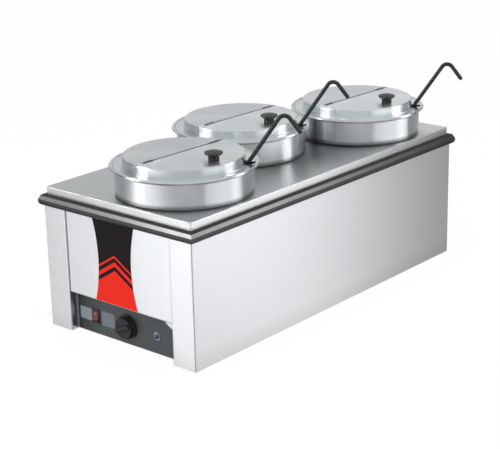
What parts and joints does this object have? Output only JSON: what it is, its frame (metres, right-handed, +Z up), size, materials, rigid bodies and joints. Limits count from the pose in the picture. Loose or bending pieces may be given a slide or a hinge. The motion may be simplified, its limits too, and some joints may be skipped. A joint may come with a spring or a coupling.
{
  "type": "countertop food warmer",
  "caption": "Long countertop food warmer with a heated water well, round lift-out pots with hinged half lids and hooked ladles, and a recessed control front.",
  "frame": {"origin": "middle of the casing's footprint, on the counter", "axes": "+X to the right as seen by someone facing the control front, +Y from that front to the rear, +Z up"},
  "size_m": [0.3951, 0.771, 0.3989],
  "materials": {
    "casing_steel": "brushed stainless sheet",
    "pot_steel": "bright spun stainless",
    "lid_steel": "polished stainless",
    "inner_steel": "plain sheet and bar",
    "rim_black": "moulded, glossy",
    "handle_black": "moulded, satin",
    "knob_black": "moulded, satin",
    "panel_grey": "satin paint",
    "legend_grey": "bare plate",
    "film_red_black": null,
    "switch_red": "moulded",
    "switch_black": "moulded",
    "lens_blue": "tinted lens",
    "feet_rubber": "moulded",
    "insulation": "fibre board",
    "element_alloy": "oxidised sheath",
    "wire_sleeve": "glass-fibre sleeve",
    "terminal_white": "moulded"
  },
  "bodies": {
    "casing": {"left_side_panel": "casing_steel", "right_side_panel": "casing_steel", "rear_panel": "casing_steel", "front_panel": "casing_steel", "front_film": "film_red_black", "control_panel": "panel_grey", "control_bracket": "casing_steel", "switch_legend": "legend_grey", "dial_legend": "legend_grey", "base_tray": "inner_steel", "rubber_feet": "feet_rubber", "foot_fixings": "inner_steel", "rear_panel_screws": "inner_steel", "top_rim": "rim_black", "well_pan": "inner_steel", "heating_element": "element_alloy", "element_clamps": "inner_steel", "clamp_fixings": "inner_steel", "heat_reflector": "inner_steel", "side_insulation": "insulation", "end_insulation": "insulation", "limit_cutout": "inner_steel", "thermostat_body": "switch_black", "sensor_bulb": "inner_steel", "switch_housing": "switch_black", "pilot_lamp": "inner_steel", "pilot_lens": "lens_blue", "terminal_block": "terminal_white", "lead_wires": "wire_sleeve", "cord_gland": "knob_black", "cord_gland_nut": "knob_black"},
    "dial": {"thermostat_knob": "knob_black", "thermostat_shaft": "inner_steel"},
    "rocker": {"rocker_button": "switch_red"},
    "plate": {"adapter_plate": "casing_steel"},
    "front inset": {"front_inset": "pot_steel"},
    "front lid": {"front_lid": "lid_steel", "front_hinge_pins": "inner_steel"},
    "front flap": {"front_lid_flap": "lid_steel", "front_lid_knob": "knob_black", "front_knob_screw": "inner_steel"},
    "front ladle": {"front_ladle": "pot_steel", "front_ladle_grip": "handle_black"},
    "middle inset": {"middle_inset": "pot_steel"},
    "middle lid": {"middle_lid": "lid_steel", "middle_hinge_pins": "inner_steel"},
    "middle flap": {"middle_lid_flap": "lid_steel", "middle_lid_knob": "knob_black", "middle_knob_screw": "inner_steel"},
    "middle ladle": {"middle_ladle": "pot_steel", "middle_ladle_grip": "handle_black"},
    "rear inset": {"rear_inset": "pot_steel"},
    "rear lid": {"rear_lid": "lid_steel", "rear_hinge_pins": "inner_steel"},
    "rear flap": {"rear_lid_flap": "lid_steel", "rear_lid_knob": "knob_black", "rear_knob_screw": "inner_steel"},
    "rear ladle": {"rear_ladle": "pot_steel", "rear_ladle_grip": "handle_black"}
  },
  "joints": [
    {"name": "dial_turn", "type": "hinge", "parent": "casing", "child": "dial", "pos_m": [0.003, -0.3616, 0.037], "axis": [0, 1, 0], "range_deg": [0, 270]},
    {"name": "rocker_tilt", "type": "hinge", "parent": "casing", "child": "rocker", "pos_m": [-0.0763, -0.3586, 0.037], "axis": [1, 0, 0], "range_deg": [0, 16]},
    {"name": "plate_lift", "type": "slide", "parent": "casing", "child": "plate", "axis": [0, 0, 1], "range_m": [0, 0.2]},
    {"name": "front_inset_lift", "type": "slide", "parent": "plate", "child": "front inset", "axis": [0, 0, 1], "range_m": [0, 0.16]},
    {"name": "front_lid_lift", "type": "slide", "parent": "front inset", "child": "front lid", "axis": [0, 0, 1], "range_m": [0, 0.12]},
    {"name": "front_flap_hinge", "type": "hinge", "parent": "front lid", "child": "front flap", "pos_m": [0.037, -0.24779, 0.3294], "axis": [-0.0349, -0.9994, 0], "range_deg": [0, 150]},
    {"name": "front_ladle_draw", "type": "slide", "parent": "front inset", "child": "front ladle", "axis": [0.472, 0.3124, 0.8244], "range_m": [0, 0.16]},
    {"name": "middle_inset_lift", "type": "slide", "parent": "plate", "child": "middle inset", "axis": [0, 0, 1], "range_m": [0, 0.16]},
    {"name": "middle_lid_lift", "type": "slide", "parent": "middle inset", "child": "middle lid", "axis": [0, 0, 1], "range_m": [0, 0.12]},
    {"name": "middle_flap_hinge", "type": "hinge", "parent": "middle lid", "child": "middle flap", "pos_m": [-0.049, 0.00021, 0.3294], "axis": [-0.0349, -0.9994, 0], "range_deg": [0, 150]},
    {"name": "middle_ladle_draw", "type": "slide", "parent": "middle inset", "child": "middle ladle", "axis": [0.472, 0.3124, 0.8244], "range_m": [0, 0.16]},
    {"name": "rear_inset_lift", "type": "slide", "parent": "plate", "child": "rear inset", "axis": [0, 0, 1], "range_m": [0, 0.16]},
    {"name": "rear_lid_lift", "type": "slide", "parent": "rear inset", "child": "rear lid", "axis": [0, 0, 1], "range_m": [0, 0.12]},
    {"name": "rear_flap_hinge", "type": "hinge", "parent": "rear lid", "child": "rear flap", "pos_m": [0.037, 0.24821, 0.3294], "axis": [-0.0349, -0.9994, 0], "range_deg": [0, 150]},
    {"name": "rear_ladle_draw", "type": "slide", "parent": "rear inset", "child": "rear ladle", "axis": [0.472, 0.3124, 0.8244], "range_m": [0, 0.16]}
  ]
}
